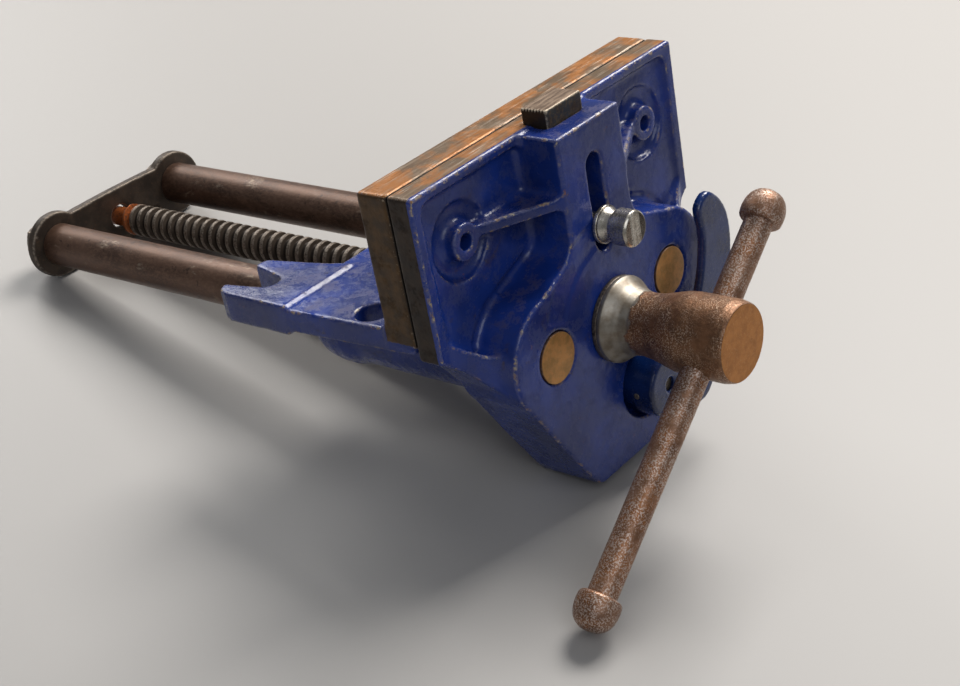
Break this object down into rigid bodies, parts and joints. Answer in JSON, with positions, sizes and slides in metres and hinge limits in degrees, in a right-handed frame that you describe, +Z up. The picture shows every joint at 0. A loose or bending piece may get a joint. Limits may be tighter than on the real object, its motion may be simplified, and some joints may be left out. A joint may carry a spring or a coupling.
{
  "type": "quick-release bench vise",
  "caption": "Blue cast-iron woodworking vise that bolts under a bench edge, with guide bars, main screw, sliding handle, quick-release lever and raised dog.",
  "frame": {"origin": "midway between the two front bench bolt holes, on the top face of the rear jaw's flange", "axes": "+X along the jaws to the right as seen from the handle end, +Y back under the bench along the guide bars, +Z up"},
  "size_m": [0.1997, 0.4099, 0.1778],
  "materials": {
    "jaw_enamel": "worn blue enamel on cast iron",
    "lever_enamel": "glossy dark blue enamel",
    "bar_steel": "brown rust film on round bar",
    "screw_steel": "grey-brown oxidised steel",
    "handle_steel": "pitted worn steel",
    "dark_iron": "dark unpainted iron",
    "plain_steel": "dull steel",
    "spring_steel": "spring wire",
    "bright_steel": "clean turned steel"
  },
  "bodies": {
    "bench_side": {"rear_jaw": "jaw_enamel", "half_nut_pin": "plain_steel", "half_nut_spring": "spring_steel"},
    "half_nut": {"half_nut": "dark_iron"},
    "sliding_jaw": {"front_jaw": "jaw_enamel", "guide_bar_left": "bar_steel", "guide_bar_right": "bar_steel", "end_plate": "dark_iron", "end_plate_washers": "plain_steel", "end_plate_nuts": "plain_steel", "lever_spring": "spring_steel"},
    "screw": {"main_screw": "screw_steel", "thrust_washer": "plain_steel", "retaining_collar": "dark_iron", "collar_pin": "plain_steel"},
    "handle": {"handle_bar": "handle_steel", "handle_knob_top": "handle_steel", "handle_knob_bottom": "handle_steel"},
    "release_lever": {"release_lever": "lever_enamel", "lever_shaft": "plain_steel", "lever_pin": "plain_steel", "lever_crank": "dark_iron"},
    "trip_bar": {"trip_bar": "dark_iron", "trip_crank": "dark_iron", "trip_bar_clip": "plain_steel"},
    "dog": {"dog_bar": "dark_iron"},
    "dog_screw": {"dog_screw": "bright_steel", "dog_washer": "bright_steel"}
  },
  "joints": [
    {"name": "jaw_slide", "type": "slide", "parent": "bench_side", "child": "sliding_jaw", "axis": [0, -1, 0], "range_m": [0, 0.203]},
    {"name": "screw_turn", "type": "hinge", "parent": "sliding_jaw", "child": "screw", "pos_m": [0, -0.09, -0.031], "axis": [0, -1, 0], "range_deg": [0, 11500]},
    {"name": "handle_slide", "type": "slide", "parent": "screw", "child": "handle", "axis": [0.809, 0, 0.5878], "range_m": [-0.036, 0.097]},
    {"name": "lever_turn", "type": "hinge", "parent": "sliding_jaw", "child": "release_lever", "pos_m": [0.0148, -0.06, -0.0691], "axis": [0, -1, 0], "range_deg": [0, 22], "stiffness_Nm_per_rad": 0.5, "springref_deg": -28.65},
    {"name": "trip_turn", "type": "hinge", "parent": "sliding_jaw", "child": "trip_bar", "pos_m": [0.0233, -0.04, -0.0388], "axis": [0, 1, 0], "range_deg": [0, 21.2]},
    {"name": "nut_turn", "type": "hinge", "parent": "bench_side", "child": "half_nut", "pos_m": [-0.0175, 0, -0.0229], "axis": [0, -1, 0], "range_deg": [0, 7.95], "deforming": ["half_nut_spring"]},
    {"name": "dog_slide", "type": "slide", "parent": "sliding_jaw", "child": "dog", "axis": [0, 0, 1], "range_m": [-0.0066, 0.026]},
    {"name": "dog_screw_turn", "type": "hinge", "parent": "dog", "child": "dog_screw", "pos_m": [0, -0.07, 0.013], "axis": [0, -1, 0], "range_deg": [0, 540]}
  ],
  "couplings": [
    {"joint": "jaw_slide", "follows": "screw_turn", "m_per_rad": 0.0010106},
    {"joint": "trip_turn", "follows": "lever_turn", "ratio": 0.96},
    {"joint": "nut_turn", "follows": "lever_turn", "ratio": 0.36}
  ]
}
